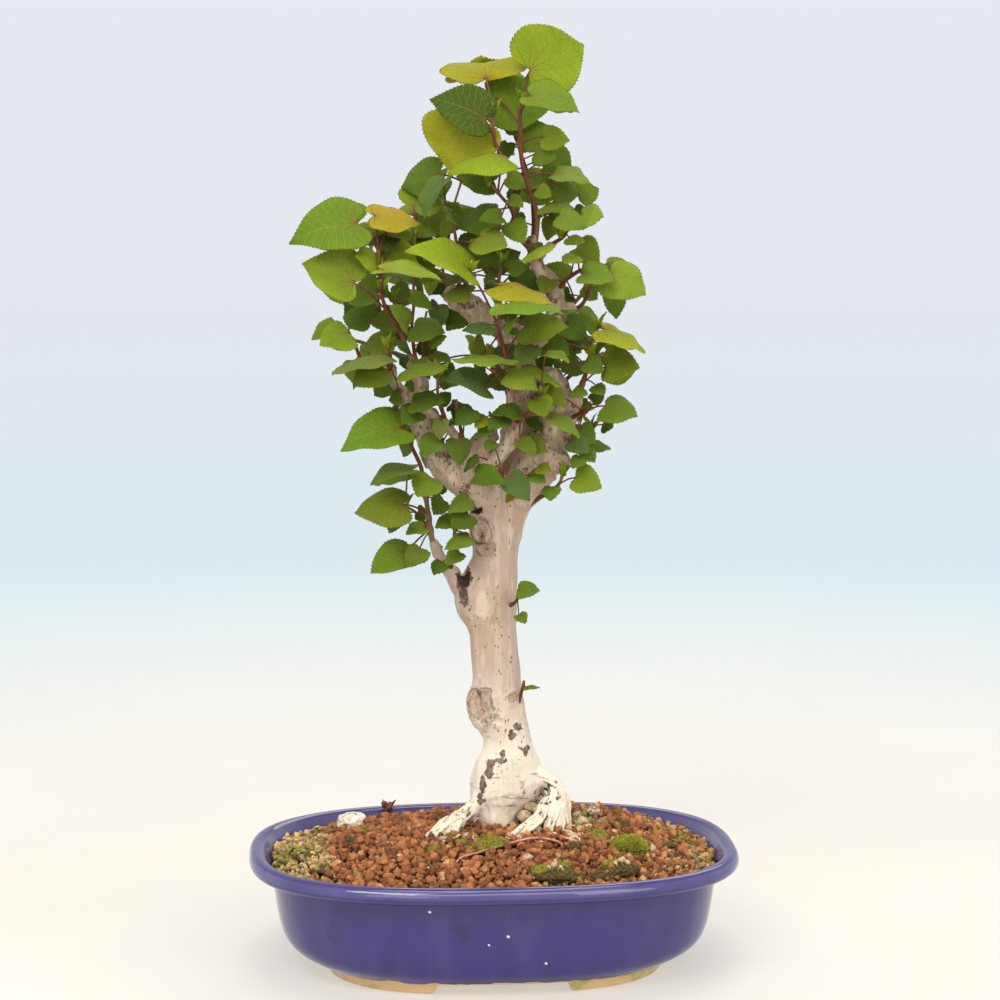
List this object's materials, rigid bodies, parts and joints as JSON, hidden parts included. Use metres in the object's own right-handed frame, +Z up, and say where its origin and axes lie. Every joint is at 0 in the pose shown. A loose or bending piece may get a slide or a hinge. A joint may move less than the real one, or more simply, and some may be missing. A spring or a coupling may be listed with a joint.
{
  "type": "potted bonsai tree",
  "caption": "Leafy sea hibiscus bonsai with a pale upright trunk, exposed roots and red-brown shoots, growing in mounded clay-grain soil in an oval glazed pot on corner feet.",
  "frame": {"origin": "on the surface that the pot stands on, under the middle of the pot", "axes": "+X along the pot's long side, to the right as seen from the tree's front; +Y from the front to the back; +Z up"},
  "size_m": [0.27, 0.2, 0.5142],
  "materials": {
    "pot": "gloss glaze, bare feet",
    "soil": "loose baked clay grains",
    "bark": "smooth bark with lenticels",
    "foliage": "satin leaf",
    "moss": "soft tufts",
    "stone": "rough",
    "netting": "matt",
    "wire": "dull copper"
  },
  "bodies": {
    "root": {"pot": "pot", "netting_left": "netting", "netting_right": "netting", "trunk_roots_and_arms": "bark", "tie_wire": "wire", "white_stone": "stone", "moss_cushion": "moss", "soil": "soil", "shoot_crown_top": "foliage", "shoot_crown_left": "foliage", "shoot_upper_left": "foliage", "shoot_upper_left_2": "foliage", "shoot_left_top": "foliage", "shoot_left_inner": "foliage", "shoot_left_inner_2": "foliage", "shoot_left_low": "foliage", "shoot_left_low_2": "foliage", "shoot_low_left_tip": "foliage", "shoot_low_left_foot": "foliage", "shoot_middle_left": "foliage", "shoot_middle_left_2": "foliage", "shoot_centre": "foliage", "shoot_middle_low": "foliage", "shoot_middle_low_2": "foliage", "shoot_fork": "foliage", "shoot_fork_2": "foliage", "shoot_right_twig": "foliage", "shoot_right_low": "foliage", "shoot_right_low_2": "foliage", "shoot_right_high": "foliage", "shoot_right_high_2": "foliage", "shoot_right_top": "foliage", "shoot_heart_front": "foliage", "shoot_trunk_leaves": "foliage", "shoot_trunk_sprig": "foliage", "shoot_far_top": "foliage", "shoot_far_left": "foliage", "shoot_far_heart": "foliage", "shoot_far_heart_2": "foliage", "shoot_far_right": "foliage", "shoot_far_right_2": "foliage", "shoot_far_low": "foliage", "shoot_far_low_2": "foliage", "shoot_far_low_left": "foliage", "shoot_far_low_left_2": "foliage"}
  },
  "joints": []
}
